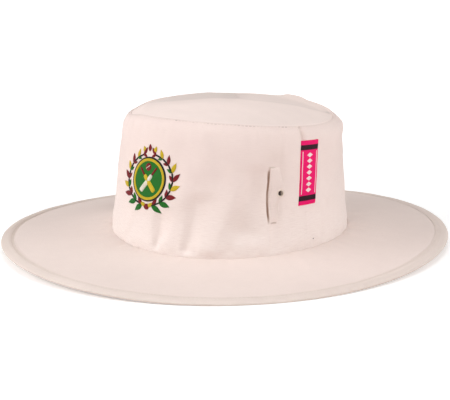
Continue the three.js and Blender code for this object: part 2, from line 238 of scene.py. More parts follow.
class Cloth:
    """Collects grids of points and their cloth coordinates in mm, and makes them one closed mesh."""

    def __init__(self):
        self.points, self.cells, self.corner_uv, self.finish, self.count = [], [], [], [], 0

    def add(self, points, uv, wrap=0.0, flip=False, finish=0):
        """Adds a grid, or a stack of like grids; wrap is the length of cloth once round, or 0 if open."""
        rows, columns = points.shape[-3:-1]
        copies = points.size // (3 * rows * columns)
        cells = grid_cells(rows, columns, wrap > 0)
        last = np.tile(np.arange(columns) == columns - 1, rows - 1) if wrap else np.zeros(len(cells), bool)
        cells = (cells + np.arange(copies)[:, None, None] * rows * columns).reshape(-1, 4)
        corner_uv = np.broadcast_to(uv, (*points.shape[:-1], 2)).reshape(-1, 2)[cells]
        corner_uv[np.tile(last, copies), 1:3, 0] += wrap
        if flip:
            cells, corner_uv = cells[:, ::-1], corner_uv[:, ::-1]
        self.points.append(points.reshape(-1, 3))
        self.cells.append(cells + self.count)
        self.corner_uv.append(corner_uv)
        self.finish.append(np.full(len(cells), finish))
        self.count += points.size // 3

    def shell(self, outer, inner, uv, wrap=0.0, finish=0):
        """Outer and inner grids of one size, joined along every open border."""
        self.add(outer, uv, wrap, False, finish)
        self.add(inner, uv, wrap, True, finish)
        for row, turned in ((0, True), (-1, False)):
            strip = np.stack([outer[row], inner[row]])
            self.add(strip, np.stack([uv[row], uv[row] + (0, CUT_EDGE)]), wrap, turned, finish)
        if not wrap:
            for column, turned in ((0, False), (-1, True)):
                strip = np.stack([outer[:, column], inner[:, column]])
                edge_uv = np.stack([uv[:, column], uv[:, column] + (CUT_EDGE, 0)])
                self.add(strip, edge_uv, 0, turned, finish)

    def mesh(self, name, marks=None):
        """Makes the mesh in metres, joins points that lie together and shades it smooth; marks, from 0 to
        1 at each point, say where a material takes its shade."""
        points = np.concatenate(self.points) * MM
        cells = np.concatenate(self.cells)
        corner_uv = np.concatenate(self.corner_uv)
        data = bpy.data.meshes.new(name)
        data.vertices.add(len(points))
        data.vertices.foreach_set("co", points.ravel())
        data.loops.add(cells.size)
        data.loops.foreach_set("vertex_index", cells.ravel())
        data.polygons.add(len(cells))
        data.polygons.foreach_set("loop_start", np.arange(len(cells)) * 4)
        data.polygons.foreach_set("material_index", np.concatenate(self.finish).astype(np.int32))
        data.update(calc_edges=True)
        layer = data.uv_layers.new(name="cloth")
        layer.data.foreach_set("uv", corner_uv.ravel())
        if marks is not None:
            data.attributes.new("mark", "FLOAT", "POINT").data.foreach_set("value", marks)
        weld = bmesh.new()
        weld.from_mesh(data)
        bmesh.ops.remove_doubles(weld, verts=weld.verts, dist=1e-6)
        bmesh.ops.dissolve_degenerate(weld, edges=weld.edges, dist=1e-7)
        weld.to_mesh(data)
        weld.free()
        data.shade_smooth()
        piece = bpy.data.objects.new(name, data)
        bpy.context.scene.collection.objects.link(piece)
        return piece


class Recipe:
    """Short hand for the nodes of one material."""

    def __init__(self, name):
        self.material = bpy.data.materials.new(name)
        self.material.use_nodes = True
        self.tree = self.material.node_tree
        self.shader = self.tree.nodes["Principled BSDF"]

    def node(self, kind, **inputs):
        """Adds a node; inputs named with their socket take a number, a colour or another socket."""
        made = self.tree.nodes.new("ShaderNode" + kind)
        for key, value in inputs.items():
            socket = made.inputs[int(key[1:])] if key[0] == "_" else made.inputs[key.replace("_", " ")]
            if isinstance(value, bpy.types.NodeSocket):
                self.tree.links.new(value, socket)
            else:
                socket.default_value = value
        return made

    def sum(self, operation, a, b=0.0):
        """One step of arithmetic."""
        made = self.node("Math", _0=a, _1=b)
        made.operation = operation
        return made.outputs[0]

    def mix(self, share, low, high):
        """Blend of two colours."""
        made = self.node("Mix")
        made.data_type = "RGBA"
        for number, value in ((0, share), (6, low), (7, high)):
            if isinstance(value, bpy.types.NodeSocket):
                self.tree.links.new(value, made.inputs[number])
            else:
                made.inputs[number].default_value = value
        return made.outputs[2]

    def noise(self, where, scale, detail=2.0, rough=0.5):
        """Noise of about 0 to 1 with features 1/scale long."""
        return self.node("TexNoise", Vector=where, Scale=scale, Detail=detail, Roughness=rough).outputs[0]

    def level(self, value, low, high):
        """Maps low to 0 and high to 1, and keeps between them."""
        made = self.node("MapRange", Value=value, From_Min=low, From_Max=high)
        return made.outputs[0]

    def to(self, socket, value):
        """Feeds one of the shader's sockets."""
        self.tree.links.new(value, self.shader.inputs[socket])

    def bump(self, height, strength, distance):
        """Turns a height into the shader's normal."""
        made = self.node("Bump", Height=height, Strength=strength, Distance=distance)
        self.to("Normal", made.outputs[0])


def paint(red, green, blue):
    """Colour from 0-255 screen values to the renderer's linear ones."""
    value = np.array([red, green, blue]) / 255.0
    linear = np.where(value <= 0.04045, value / 12.92, ((value + 0.055) / 1.055) ** 2.4)
    return (*linear.tolist(), 1.0)


# mm from rib to rib and from thread to thread of the drill
RIB_PITCH, WEFT_PITCH, WARP_PITCH = 0.62, 0.38, 0.41
# heights in metres from which and down to which the wall is painted lighter, as painted light that the brim
# throws up onto it
BOUNCE_LIGHT_TOP, BOUNCE_LIGHT_FOOT = 0.075, 0.02


def cotton(name, light, dark, shade=None, low=None):
    """Drill weave: sine ribs along the diagonal crossed by fine sine threads, with slubs, faint mottling
    between light and dark, and a matt sheen. low is a lighter tone painted near the brim as the light
    that the brim throws up onto the wall, and shade the tone where the mesh has its marks."""
    make = Recipe(name)
    cloth = make.node("UVMap")
    cloth.uv_map = "cloth"
    place = make.node("TexCoord").outputs["Object"]
    split = make.node("SeparateXYZ", Vector=cloth.outputs[0])
    u, v = split.outputs[0], split.outputs[1]
    rib = make.sum("SINE", make.sum("MULTIPLY", make.sum("ADD", u, v), 2 * np.pi / RIB_PITCH))
    weft = make.sum("SINE", make.sum("MULTIPLY", v, 2 * np.pi / WEFT_PITCH))
    warp = make.sum("SINE", make.sum("MULTIPLY", u, 2 * np.pi / WARP_PITCH))
    threads = make.sum("MULTIPLY", make.sum("MULTIPLY", weft, warp), 0.3)
    weave = make.sum("ADD", make.sum("MULTIPLY", rib, 0.5), threads)
    stretched = make.node("Mapping", Vector=cloth.outputs[0], Scale=(0.12, 1.4, 1.0)).outputs[0]
    slub = make.noise(stretched, 1.3, 3.0)
    broad = make.noise(place, 21.0, 2.0)
    patchy = make.noise(place, 85.0, 4.0, 0.6)
    tone = make.sum("ADD", make.sum("MULTIPLY", broad, 0.5), make.sum("MULTIPLY", patchy, 0.5))
    colour = make.mix(make.level(tone, 0.32, 0.68), dark, light)
    # painted light: lighter by height towards the brim
    if low is not None:
        height = make.node("SeparateXYZ", Vector=place).outputs[2]
        colour = make.mix(make.level(height, BOUNCE_LIGHT_TOP, BOUNCE_LIGHT_FOOT), colour, low)
    thread = make.sum("ADD", make.sum("MULTIPLY", weave, 0.5), slub)
    deep = (dark[0] * 0.93, dark[1] * 0.92, dark[2] * 0.91, 1.0)
    colour = make.mix(make.level(thread, 0.55, -0.1), colour, deep)
    if shade is not None:
        mark = make.node("Attribute")
        mark.attribute_name = "mark"
        colour = make.mix(mark.outputs["Fac"], colour, shade)
    make.to("Base Color", colour)
    height = make.sum("ADD", make.sum("MULTIPLY", weave, 0.5), make.sum("MULTIPLY", slub, 0.9))
    make.bump(height, 0.35, 0.00012)
    make.shader.inputs["Roughness"].default_value = 0.93
    make.shader.inputs["Specular IOR Level"].default_value = 0.18
    make.shader.inputs["Sheen Weight"].default_value = 0.12
    make.shader.inputs["Sheen Roughness"].default_value = 0.5
    return make.material


# painted shade: the colour that the wall's marks take in the slit's groove, in the pucker at the top of each
# side seam, and in the patches round the pocket
POCKET_SHADE = paint(170, 140, 124)
# the last colour is the painted light near the brim
CROWN_COTTON = cotton("crown_cotton", paint(231, 213, 206), paint(227, 208, 202), POCKET_SHADE,
                      paint(246, 233, 227))

# mm of wall to a degree of turn, at the pocket and near the top
MM_A_DEGREE, TOP_MM_A_DEGREE = 1.63, 1.6

# the slit is a shallow groove in the wall's outer face, its dark inside painted in as shade
# rise and turn of the pocket slit
SLIT_ROWS = ((22.6, -26.3), (29.8, -26.75), (38.8, -27.15), (46.8, -27.05), (54.8, -26.4), (65.2, -25.9))
SLIT_HALF = 0.8
SLIT_DEPTH = 1.2
SLIT_POINT = 4.0
# added half width at the top, rise at which it starts, rise that it takes
SLIT_WIDER = (0.3, 54.0, 6.0)
# share of the depth that is missing, rise and reach: low end, middle, high end
SLIT_LOW, SLIT_MIDDLE, SLIT_HIGH = (0.4, 29.5, 2.5), (0.22, 43, 6), (0.2, 57, 4)

# turn, rise, spread of each, share of the pocket's shade: where handling has soiled the cloth round the
# pocket, and painted shade where the strip's far edge shades the wall above and below the eyelet
WALL_SOIL_AND_SHADE = (
    (-38, 24, 8, 12, 0.1), (-41, 31, 5, 10, 0.06), (-23.5, 74, 6, 7, 0.12), (-31.5, 54, 4.5, 13, 0.1),
    (-19, 57, 6, 16, 0.06), (-20, 60, 2.2, 12, 0.07), (-20.8, 35, 1.2, 7, 0.14),
)


def slit_share(turn, rise):
    """Up to 1 along the middle of the pocket slit, 0 beyond its edges and its two pointed ends; wider
    at its top, and shallower near its ends and a little in its middle."""
    rises, turns = np.array(SLIT_ROWS).T
    gap = np.abs(turn_gap(turn, np.interp(rise, rises, turns))) * MM_A_DEGREE
    wider, start, over = SLIT_WIDER
    half = SLIT_HALF + wider * ease((rise - start) / over)
    (low, low_rise, low_reach), (high, high_rise, high_reach) = SLIT_LOW, SLIT_HIGH
    missing = low * ease((low_rise - rise) / low_reach) + high * ease((rise - high_rise) / high_reach)
    middle, middle_rise, middle_reach = SLIT_MIDDLE
    missing = missing + middle * bell((rise - middle_rise) / middle_reach)
    ends = between(rise, rises[0], SLIT_POINT, rises[-1], SLIT_POINT)
    return ease((half * 1.25 - gap) / (half * 0.7)) * ends * (1 - missing)


def soil_and_shade(turn, rise):
    """Sum of bells in turn and in rise."""
    return sum(share * bell(turn_gap(turn, at) / spread) * bell((rise - level) / reach)
               for at, level, spread, reach, share in WALL_SOIL_AND_SHADE)


# the side seam's dent: depth, added depth at the top, rise at which that starts and that it takes
SEAM_DENT, SEAM_DENT_TOP, SEAM_DENT_START, SEAM_DENT_OVER = 0.1, 0.6, 82.0, 6.0
SEAM_DENT_HALF = 1.1
# the pucker at its top: depth, half width, rise, reach, share of the pocket's shade painted in as its shade
TOP_PULL, TOP_PULL_HALF, TOP_PULL_RISE, TOP_PULL_REACH, TOP_PULL_SHADE = 0.8, 2.8, 90.0, 5.0, 0.22


def wall_half(name, node, start, end, turns):
    """Half of the side wall: outer grid, and an inner one at the cloth's thickness along the normals."""
    profile = through_rows(WALL_ROWS, 8)
    rise, turn = np.meshgrid(profile[:, 0], turns, indexing="ij")
    radius = np.broadcast_to(profile[:, 1:], rise.shape)
    smooth = wall_xyz(turn, rise, radius)
    out = grid_normals(smooth)
    from_seam = np.minimum(turn - start, end - turn) * TOP_MM_A_DEGREE
    slit = slit_share(turn, rise)
    seam_dent = SEAM_DENT + SEAM_DENT_TOP * ease((rise - SEAM_DENT_START) / SEAM_DENT_OVER)
    pull = bell(from_seam / TOP_PULL_HALF) * bell((rise - TOP_PULL_RISE) / TOP_PULL_REACH)
    dent = seam_dent * bell(from_seam / SEAM_DENT_HALF) + SLIT_DEPTH * slit + TOP_PULL * pull
    outer = smooth - out * dent[..., None]
    inner = smooth - out * WALL_THICK
    along = np.concatenate([[0], np.cumsum(np.hypot(*np.diff(profile, axis=0).T))])
    uv = np.stack([turn * MM_A_DEGREE, np.broadcast_to(along[:, None], turn.shape)], -1)
    half = Cloth()
    half.shell(outer, inner, uv)
    marks = np.zeros(half.count)
    # marks: painted shade in the slit and in the seams' top puckers, and soil and painted shade round the
    # pocket
    marks[:slit.size] = (slit ** 0.7 + TOP_PULL_SHADE * pull + soil_and_shade(turn, rise)).ravel()
    piece = half.mesh(name, marks)
    piece.data.materials.append(CROWN_COTTON)
    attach(piece, "root")
    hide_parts(node)


FINE_REACH = 4.0
FINE_TIMES = 4


def spread_turns(start, end, step, fine_spots):
    """Turns from start to end in even steps, with several times as many near the fine spots."""
    even = np.arange(start, end + step / 2, step)
    extra = [np.arange(spot - FINE_REACH, spot + FINE_REACH, step / FINE_TIMES) for spot in fine_spots]
    every = np.unique(np.round(np.concatenate([even, *extra, [start, end]]), 4))
    return every[(every >= start) & (every <= end)]


HALF_GAP = 0.03
POCKET_TURN = -28
FRONT_STEP, BACK_STEP = 0.8, 0.9
front_start, front_end = SIDE_SEAMS[1] - 360 + HALF_GAP, SIDE_SEAMS[0] - HALF_GAP
back_start, back_end = SIDE_SEAMS[0] + HALF_GAP, SIDE_SEAMS[1] - HALF_GAP
wall_half("front_wall", "crown_front", front_start, front_end,
          spread_turns(front_start, front_end, FRONT_STEP, (front_start, POCKET_TURN, front_end)))
wall_half("back_wall", "crown_back", back_start, back_end,
          spread_turns(back_start, back_end, BACK_STEP, (back_start, back_end)))

# Tip of the crown
# One oval panel of the same cotton, domed at the front where the head lifts it, with a sagging
# trough inside its far rim. Its edge turns down into the top seam.
SEAM_RADIUS = 81.96
DOME_RISE = 6.6
DOME_SHIFT = 14.0
FAR_TURN = 134.0
TIP_SINK = -0.35
TIP_THICK = 1.9
DOME_POWER = 1.6
# distance of the ridge beyond the middle, and its steps: shift, place along the ridge, length
RIDGE_AHEAD = 13.0
RIDGE_STEPS = ((3.0, -8.0, 16.0), (-8.5, 44.0, 26.0))
# place along the ridge at which the right half starts, and the length of the change
RIGHT_START, RIGHT_OVER = -14.0, 26.0
# depth of the dip beyond the ridge, distance in which it deepens, distance in which it fades
DIP_LEFT = (1.3, 15.0, 34.0)
DIP_RIGHT = (3.9, 6.0, 48.0)
# place along the ridge, half width, slant, distance at which the slant is 0, start, length
VALLEY = (4.5, 3.2, 0.08, 50.0, 22.0, 12.0)
TIP_RIPPLES = ((0.35, 50, 7), (0.12, 18, 8))
TIP_ROLL, TIP_ROLL_WIDTH = 0.1, 1.4
# share of the way out from which the tip follows the rim's lifts
LIFT_SHARE = 0.86


def past_ridge(turn, share):
    """Distance beyond the ridge across the tip, distance to the right along it, and 1 on its right half."""
    ahead = SEAM_RADIUS * share * np.cos(np.radians(turn - FAR_TURN))
    aside = SEAM_RADIUS * share * np.sin(np.radians(FAR_TURN - turn))
    ridge = RIDGE_AHEAD + sum(shift * ease((aside - start) / length) for shift, start, length in RIDGE_STEPS)
    return ahead - ridge, aside, ease((aside - RIGHT_START) / RIGHT_OVER)


def tip_crease(turn, share):
    """Beyond a ridge across the tip the cloth dips, quickly on the right and softly on the left, and
    comes back towards the far rim; a short valley runs from that rim to the ridge."""
    ahead = SEAM_RADIUS * share * np.cos(np.radians(turn - FAR_TURN))
    past, aside, right = past_ridge(turn, share)
    past = np.maximum(past, 0.0)
    depth, deepens, fades = (left + (far - left) * right for left, far in zip(DIP_LEFT, DIP_RIGHT))
    dip = depth * (1 - bell(past / deepens)) * np.exp(-past / fades)
    place, half, slant, level, start, length = VALLEY
    valley = bell((aside - place + slant * (ahead - level)) / half) * ease((ahead - start) / length)
    return (dip + valley) * ease((1 - share) / 0.1)


def tip_height(turn, share):
    """Tilted ring carried inwards, plus a dome of 1 - q^1.6 about a top that lies beyond the middle,
    where q is 1 at the ring, less the crease."""
    tilt = wave_sum(turn, TOP_WAVE[:1]) * share + wave_sum(turn, TOP_WAVE[1:]) * share ** 2
    off = DOME_SHIFT / SEAM_RADIUS * (1 - share ** 2)
    ahead = share * np.cos(np.radians(turn - FAR_TURN))
    aside = share * np.sin(np.radians(turn - FAR_TURN))
    dome = DOME_RISE * (1 - np.hypot(ahead - off, aside) ** DOME_POWER)
    return REST_LIFT + TOP_HEIGHT + tilt + dome - tip_crease(turn, share) - TIP_SINK


def tip_xyz(turn, share):
    """Oval rings at each share of the way out, at the tip's height with soft ripples and a rolled edge."""
    angle = np.radians(turn)
    x = (SEAM_RADIUS - OVAL) * share * np.cos(angle)
    y = TOP_SETBACK + (SEAM_RADIUS + OVAL) * share * np.sin(angle)
    flat = np.stack([x, y, 0 * x], -1)
    loose = ease((1 - share) / 0.15)
    edge = (share - 1) * SEAM_RADIUS
    roll = TIP_ROLL * np.square(np.clip(1 + edge / TIP_ROLL_WIDTH, 0, 1))
    lift = rim_lift(turn) * ease((share - LIFT_SHARE) / (1 - LIFT_SHARE))
    z = tip_height(turn, share) + loose * ripples(flat, TIP_RIPPLES)
    return np.stack([x, y, z - roll + lift], -1)


tip_shares = np.concatenate([[0.0], np.linspace(0.02, 0.96, 62), np.linspace(0.966, 1, 14)])
tip_turns = np.arange(0, 360, 1.0)
tip_share, tip_turn = np.meshgrid(tip_shares, tip_turns, indexing="ij")
tip_top = tip_xyz(tip_turn, tip_share)
tip_under = tip_top - (0, 0, TIP_THICK)
tip_past, tip_aside, tip_right = past_ridge(tip_turn, tip_share)
# painted shade over the trough: evenly on the left, along the ridge's foot on the right, and a
# little over the whole right half, so that the tip darkens from left to right
LEFT_SHADE, FOOT_SHADE, FAR_SHADE, HALF_SHADE = 0.66, 0.6, 0.22, 0.28
tip_left = 1 - ease((tip_aside + 8) / 26)
tip_painted_shade = 0.3 * ease((tip_past + 32) / 28) + 0.7 * ease((tip_past + 4) / 20)
tip_painted_shade *= LEFT_SHADE * tip_left * ease((tip_aside + 98) / 50)
tip_painted_shade += tip_right * (FOOT_SHADE * bell((tip_past - 4) / 5.5) + FAR_SHADE * ease(tip_past / 6))
tip_painted_shade += 0.02 + HALF_SHADE * ease((tip_aside + 60) / 120)
tip_cloth = Cloth()
tip_cloth.add(tip_top, tip_top[..., :2], ROUND, True)
tip_cloth.add(tip_under, tip_under[..., :2], ROUND, False)
rim_strip = np.stack([tip_top[-1], tip_under[-1]])
tip_cloth.add(rim_strip, rim_strip[..., :2], ROUND, True)
tip_marks = np.zeros(tip_cloth.count)
tip_painted_shade = np.minimum(tip_painted_shade * ease((1 - tip_share) / 0.05 + 0.4), 1)
tip_marks[:tip_painted_shade.size] = tip_painted_shade.ravel()
tip = tip_cloth.mesh("tip_panel", tip_marks)
# the wall's cotton painted lighter, with painted shade where the tip has its marks
TIP_COTTON = cotton("tip_cotton", paint(247, 229, 222), paint(243, 225, 218), paint(206, 191, 184))
tip.data.materials.append(TIP_COTTON)
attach(tip, "root")
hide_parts("crown_top")

# Brim
# A wide ring of two cotton layers with a stiff interlining, sewn to the base of the wall and
# drooping a little to its edge, puckered where it is gathered into the seam.
BRIM_HALF_WIDTH = 177.6
BRIM_HALF_LENGTH = 190.0
EDGE_WAVE = ((2, -1.17, 3.2),)
BRIM_THICK = 1.8
# height of the brim's upper face above the edge's lowest line, where it goes into the hem
BRIM_AT_HEM = 3.7
BRIM_SAG = 1.2
HEM_WIDTH = 10.5
BASE_RADIUS = 97.2
BRIM_TUCK = 0.4
SEAM_DIP = 1.0
# share of the brim's width in which the seam's dip and the gathers die out
DIP_SHARE, GATHER_SHARE = 0.014, 0.19
GATHER_DEPTH = 0.85
# turn and spread of the smoother front, depth that the gathers lose there
SMOOTH_TURN, SMOOTH_SPREAD, SMOOTH_LOSS = -50, 62, 0.5
# radius and length of the ring of noise that the gathers are read from
GATHER_RING, GATHER_STRETCH = 60.0, 8.0
SWAY = 0.5


def edge_height(turn):
    """Lowest line of the brim's edge: level with one gentle wave."""
    return REST_LIFT + wave_sum(turn, EDGE_WAVE)


def brim_xyz(turn, share):
    """Straight lines from the base oval to the hem oval, sagging a little, with gathers that die out."""
    angle = np.radians(turn)
    inner = BASE_RADIUS - BRIM_TUCK
    start = np.stack([(inner - OVAL) * np.cos(angle), BASE_SETBACK + (inner + OVAL) * np.sin(angle),
                      base_height(turn)], -1)
    reach = HEM_WIDTH + 0.05
    end = np.stack([(BRIM_HALF_WIDTH - reach) * np.cos(angle), (BRIM_HALF_LENGTH - reach) * np.sin(angle),
                    edge_height(turn) + BRIM_AT_HEM], -1)
    points = start + (end - start) * share[..., None]
    ring = np.stack([GATHER_RING * np.cos(angle), GATHER_RING * np.sin(angle), GATHER_STRETCH * share], -1)
    gathered = GATHER_DEPTH - SMOOTH_LOSS * bell(turn_gap(turn, SMOOTH_TURN) / SMOOTH_SPREAD)
    gathers = gathered * soft_ripple(ring, 6.5, 11) * np.exp(-share / GATHER_SHARE) * ease(share / 0.02)
    sway = SWAY * soft_ripple(points, 90, 12) * np.sin(np.pi * share)
    seam = SEAM_DIP * np.exp(-share / DIP_SHARE)
    points[..., 2] += gathers + sway - BRIM_SAG * np.sin(np.pi * share) - seam
    return points


brim_shares = np.linspace(0, 1, 54) ** 1.15
brim_turns = np.arange(0, 360, 0.6)
brim_share, brim_turn = np.meshgrid(brim_shares, brim_turns, indexing="ij")
brim_top = brim_xyz(brim_turn, brim_share)
# mm of brim to a degree of turn at its middle, and its width
BRIM_MM_A_DEGREE, BRIM_WIDTH = 2.4, 80
# turn, spread and strength of the painted shadow that the crown casts on the brim behind it
CROWN_SHADOW_TURN, CROWN_SHADOW_SPREAD, CROWN_SHADOW_STRENGTH = 184, 17, 0.42
brim_uv = np.stack([brim_turn * BRIM_MM_A_DEGREE, brim_share * BRIM_WIDTH], -1)
brim_painted_shadow = CROWN_SHADOW_STRENGTH * bell(turn_gap(brim_turn, CROWN_SHADOW_TURN) / CROWN_SHADOW_SPREAD) * ease((0.95 - brim_share) / 0.8)
brim_cloth = Cloth()
brim_cloth.shell(brim_top[::-1], brim_top[::-1] - (0, 0, BRIM_THICK), brim_uv[::-1], 360 * BRIM_MM_A_DEGREE)
brim_marks = np.zeros(brim_cloth.count)
brim_marks[:brim_painted_shadow.size] = brim_painted_shadow[::-1].ravel()
brim = brim_cloth.mesh("brim_cloth", brim_marks)
BRIM_COTTON = cotton("brim_cotton", paint(232, 216, 209), paint(228, 212, 205), paint(176, 158, 150))
brim.data.materials.append(BRIM_COTTON)
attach(brim, "root")
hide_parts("brim")

# Hem of the brim
# The edge of the brim folded over itself and sewn down, so it is thicker and denser than the brim,
# with a rolled outer rim and a low step at its inner line. It is pressed flat where the hat rests.

# distance out from the hem's inner line, height above the brim's lowest line
HEM_SECTION = (
    (0.0, 3.1), (0.0, 3.75), (0.5, 3.95), (1.7, 3.4), (2.9, 3.7), (4.6, 3.95), (6.8, 3.5), (8.8, 2.85),
    (10.0, 2.15), (10.5, 1.4), (10.3, 0.8), (9.4, 0.3), (7.6, 0.0), (5.0, 0.0), (2.4, 0.7), (0.1, 1.5),
    (0.0, 2.4),
)
# distance out of the groove, turn of its creased side, how far it is filled elsewhere, how far the
# stitches pinch it
HEM_GROOVE = 1.7
HEM_CREASED = -135
HEM_FILL, HEM_PINCH = 0.5, 0.16
HEM_STITCHES = 350
# heights above which a point is on the hem's upper face, and below which it is under its rim
HEM_UPPER, HEM_LOWER = 2.4, 2.0
HEM_RING = 70.0
HEM_RIPPLE = 0.14


def hem_xyz(turn, out, height):
    """The section carried round the brim's oval; the stitches pinch its groove in a sine wave, and away
    from its creased side the groove is partly filled."""
    angle = np.radians(turn)
    filled = HEM_FILL * (1 - bell(turn_gap(turn, HEM_CREASED) / 60)) * bell((out - HEM_GROOVE) / 0.9)
    pinch = HEM_PINCH * np.sin(angle * HEM_STITCHES) * bell((out - HEM_GROOVE) / 1.2)
    soft = np.stack([HEM_RING * np.cos(angle), HEM_RING * np.sin(angle), out], -1)
    raised = height + (filled + pinch) * (height > HEM_UPPER)
    raised = raised + HEM_RIPPLE * soft_ripple(soft, 11, 21) * ease(height / 3)
    x = (BRIM_HALF_WIDTH - HEM_WIDTH + out) * np.cos(angle)
    y = (BRIM_HALF_LENGTH - HEM_WIDTH + out) * np.sin(angle)
    return np.stack([x, y, np.maximum(edge_height(turn) + raised, 0)], -1)


hem_profile = through_rows((*HEM_SECTION, HEM_SECTION[0]), 4)[:-1]
hem_turns = np.arange(0, 360, 0.4)
hem_turn, hem_step = np.meshgrid(hem_turns, np.arange(len(hem_profile)), indexing="ij")
hem_points = hem_xyz(hem_turn, hem_profile[hem_step, 0], hem_profile[hem_step, 1])
hem_loop = np.concatenate([hem_points, hem_points[:1]])
hem_loop_turns = np.append(hem_turns, 360.0)
# mm of hem to a degree of turn, and to a step of its section
HEM_MM_A_DEGREE, HEM_MM_A_STEP = 3.2, 0.5
hem_along = np.concatenate([hem_turn, np.full_like(hem_turn[:1], 360)]) * HEM_MM_A_DEGREE
hem_round = np.concatenate([hem_step, hem_step[:1]]) * HEM_MM_A_STEP
hem_cloth = Cloth()
hem_cloth.add(hem_loop, np.stack([hem_round, hem_along], -1), HEM_MM_A_STEP * len(hem_profile), True)
# painted shade in the groove, deepest on its creased side, painted shade in two places round the
# brim, and a painted shadow under the outer rim
hem_groove = bell((hem_profile[:, 0] - HEM_GROOVE) / 0.8) * (hem_profile[:, 1] > HEM_UPPER)
hem_groove_shade = 0.03 + 0.32 * bell(turn_gap(hem_loop_turns, HEM_CREASED) / 52)
hem_side_shade = 0.07 * bell(turn_gap(hem_loop_turns, 6) / 38)
hem_side_shade += 0.3 * bell(turn_gap(hem_loop_turns, -146) / 26)
hem_rim_shadow = 0.4 * ease((hem_profile[:, 0] - 9.2) / 0.8) * ease((HEM_LOWER - hem_profile[:, 1]) / 0.8)
hem_marks = hem_groove_shade[:, None] * hem_groove + hem_side_shade[:, None] + hem_rim_shadow
hem = hem_cloth.mesh("hem_cloth", hem_marks.ravel())
HEM_COTTON = cotton("hem_cotton", paint(228, 213, 205), paint(223, 208, 200), paint(184, 164, 150))
hem.data.materials.append(HEM_COTTON)
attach(hem, "root")
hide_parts("brim_hem")


def stitches(name, centre, along, out, length, thick, material):
    """Slim closed capsules: each is rings about its line, with a radius of sine to the power 0.6 and a
    place of cosine, from one pole to the other."""
    along = along / np.linalg.norm(along, axis=-1, keepdims=True)
    side = np.cross(out, along)
    side /= np.linalg.norm(side, axis=-1, keepdims=True)
    up = np.cross(along, side)
    lengthwise = np.radians([0, 30, 70, 110, 150, 180])[:, None, None]
    roundabout = np.radians(np.arange(0, 360, 60))[:, None]
    reach = np.sin(lengthwise) ** 0.6 * thick / 2
    rings = centre[:, None, None] + np.cos(lengthwise) * length / 2 * along[:, None, None]
    outward = np.cos(roundabout) * side[:, None, None] + np.sin(roundabout) * up[:, None, None]
    rings = rings + reach * outward
    row = Cloth()
    row.add(rings, np.zeros(2), ROUND, True)
    piece = row.mesh(name)
    piece.data.materials.append(material)
    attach(piece, "root")


def thread(name, colour, sunk=None):
    """Twisted sewing thread: a fine spiral bump and a soft gloss; sunk is a darker tone painted in
    patches as the shade of thread pulled deep into the cloth."""
    make = Recipe(name)
    place = make.node("TexCoord").outputs["Object"]
    tone = make.noise(place, 900.0, 2.0)
    dark = (colour[0] * 0.82, colour[1] * 0.8, colour[2] * 0.78, 1.0)
    shown = make.mix(tone, dark, colour)
    if sunk is not None:
        shown = make.mix(make.level(make.noise(place, 55.0, 2.0), 0.46, 0.6), shown, sunk)
    make.to("Base Color", shown)
    make.bump(make.noise(place, 3500.0, 1.0), 0.4, 0.0001)
    make.shader.inputs["Roughness"].default_value = 0.6
    make.shader.inputs["Sheen Weight"].default_value = 0.2
    return make.material


CREAM_THREAD = thread("cream_thread", paint(226, 210, 200))
SHADED_THREAD = thread("shaded_thread", paint(226, 208, 200), paint(148, 126, 118))
HEM_STITCH_HEIGHT = 3.4
HEM_STITCH_LENGTH, HEM_STITCH_THICK = 2.3, 0.42
hem_stitch_turns = (np.arange(HEM_STITCHES) + 0.5) * 360 / HEM_STITCHES
hem_stitch_out = np.full(HEM_STITCHES, HEM_GROOVE)
hem_stitch_height = np.full(HEM_STITCHES, HEM_STITCH_HEIGHT)
hem_centres = hem_xyz(hem_stitch_turns, hem_stitch_out, hem_stitch_height)
hem_ahead = hem_xyz(hem_stitch_turns + 0.3, hem_stitch_out, hem_stitch_height) - hem_centres
stitches("hem_stitches", hem_centres, hem_ahead, np.tile([0.0, 0.0, 1.0], (HEM_STITCHES, 1)),
         HEM_STITCH_LENGTH, HEM_STITCH_THICK, CREAM_THREAD)

# Top seam
# The wall and the tip are sewn together right sides in and topstitched round the wall's edge; the
# thread shows as short marks that pull the cloth in.
SEAM_STITCHES = 178
SEAM_STITCH_RISE, SEAM_STITCH_RADIUS = 96.0, 84.3
SEAM_STITCH_LENGTH, SEAM_STITCH_THICK = 2.1, 0.4
# turn and spread of the stretch where the thread takes patches of painted shade, as if pulled deep into
# the cloth
PULLED_TURN, PULLED_SPREAD = -46, 31
seam_turns = (np.arange(SEAM_STITCHES) + 0.5) * 360 / SEAM_STITCHES
seam_rise = np.full(SEAM_STITCHES, SEAM_STITCH_RISE)
seam_radius = np.full(SEAM_STITCHES, SEAM_STITCH_RADIUS)
seam_centres = wall_xyz(seam_turns, seam_rise, seam_radius)
seam_ahead = wall_xyz(seam_turns + 0.5, seam_rise, seam_radius) - seam_centres
seam_pulled = np.abs(turn_gap(seam_turns, PULLED_TURN)) < PULLED_SPREAD
for seam_name, seam_part, seam_thread in (("seam_stitches", ~seam_pulled, CREAM_THREAD),
                                          ("pulled_stitches", seam_pulled, SHADED_THREAD)):
    seam_up = np.tile([0.0, 0.0, 1.0], (seam_part.sum(), 1))
    stitches(seam_name, seam_centres[seam_part], seam_ahead[seam_part], seam_up,
             SEAM_STITCH_LENGTH, SEAM_STITCH_THICK, seam_thread)

# turn, rise and radius of the loose knot just above the base seam
KNOT_AT = (-2.4, 6.5, 97.1)
KNOT_LENGTH, KNOT_THICK = 0.9, 0.75
knot_at = wall_xyz(*np.array(KNOT_AT)[:, None])
stitches("loose_knot", knot_at, np.array([[0.3, 0.3, 1.0]]), knot_at * (1, 1, 0), KNOT_LENGTH, KNOT_THICK,
         thread("dark_knot", paint(96, 74, 66)))

# Pocket
# A small pocket is let into the wall: a curved slit with a pressed strip of cotton along its rear
# side, widened round the eyelet, and a bar of close stitches at each end.

